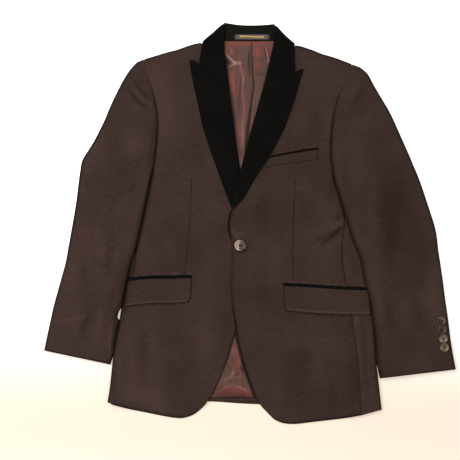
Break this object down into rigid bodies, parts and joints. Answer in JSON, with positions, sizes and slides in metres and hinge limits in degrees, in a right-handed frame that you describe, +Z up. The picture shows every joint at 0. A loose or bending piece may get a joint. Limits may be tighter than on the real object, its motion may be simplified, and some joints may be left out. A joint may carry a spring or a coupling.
{
  "type": "men's smoking jacket laid flat",
  "caption": "Man's single-breasted peak-lapel smoking jacket laid flat, front up: brown wool, dark velvet collar and lapels, satin lining in the neck, sleeves at its sides.",
  "frame": {"origin": "on the surface that the jacket lies on, below the middle of its outline", "axes": "+X across the jacket towards the wearer's left sleeve, +Y from the hem to the collar, +Z up out of the front"},
  "size_m": [0.795, 0.7729, 0.0156],
  "materials": {
    "suiting": "matte",
    "velvet": "matte",
    "lining": "satin",
    "label": "satin",
    "button": "satin"
  },
  "bodies": {
    "root": {"back_hem_turnup": "suiting", "back_left": "suiting", "back_lining": "lining", "back_right": "suiting", "breast_jetting": "velvet", "breast_welt": "suiting", "collar_back": "velvet", "collar_left": "velvet", "collar_right": "velvet", "cuff_button_1": "button", "cuff_button_2": "button", "cuff_button_3": "button", "cuff_button_4": "button", "flap_jetting_left": "velvet", "flap_jetting_right": "velvet", "flap_left": "suiting", "flap_right": "suiting", "front_button": "button", "front_left": "suiting", "front_right": "suiting", "lapel_left": "velvet", "lapel_right": "velvet", "neck_label": "label", "side_panel_left": "suiting", "side_panel_right": "suiting", "under_sleeve_left": "suiting", "under_sleeve_right": "suiting", "upper_sleeve_left": "suiting", "upper_sleeve_right": "suiting"}
  },
  "joints": []
}
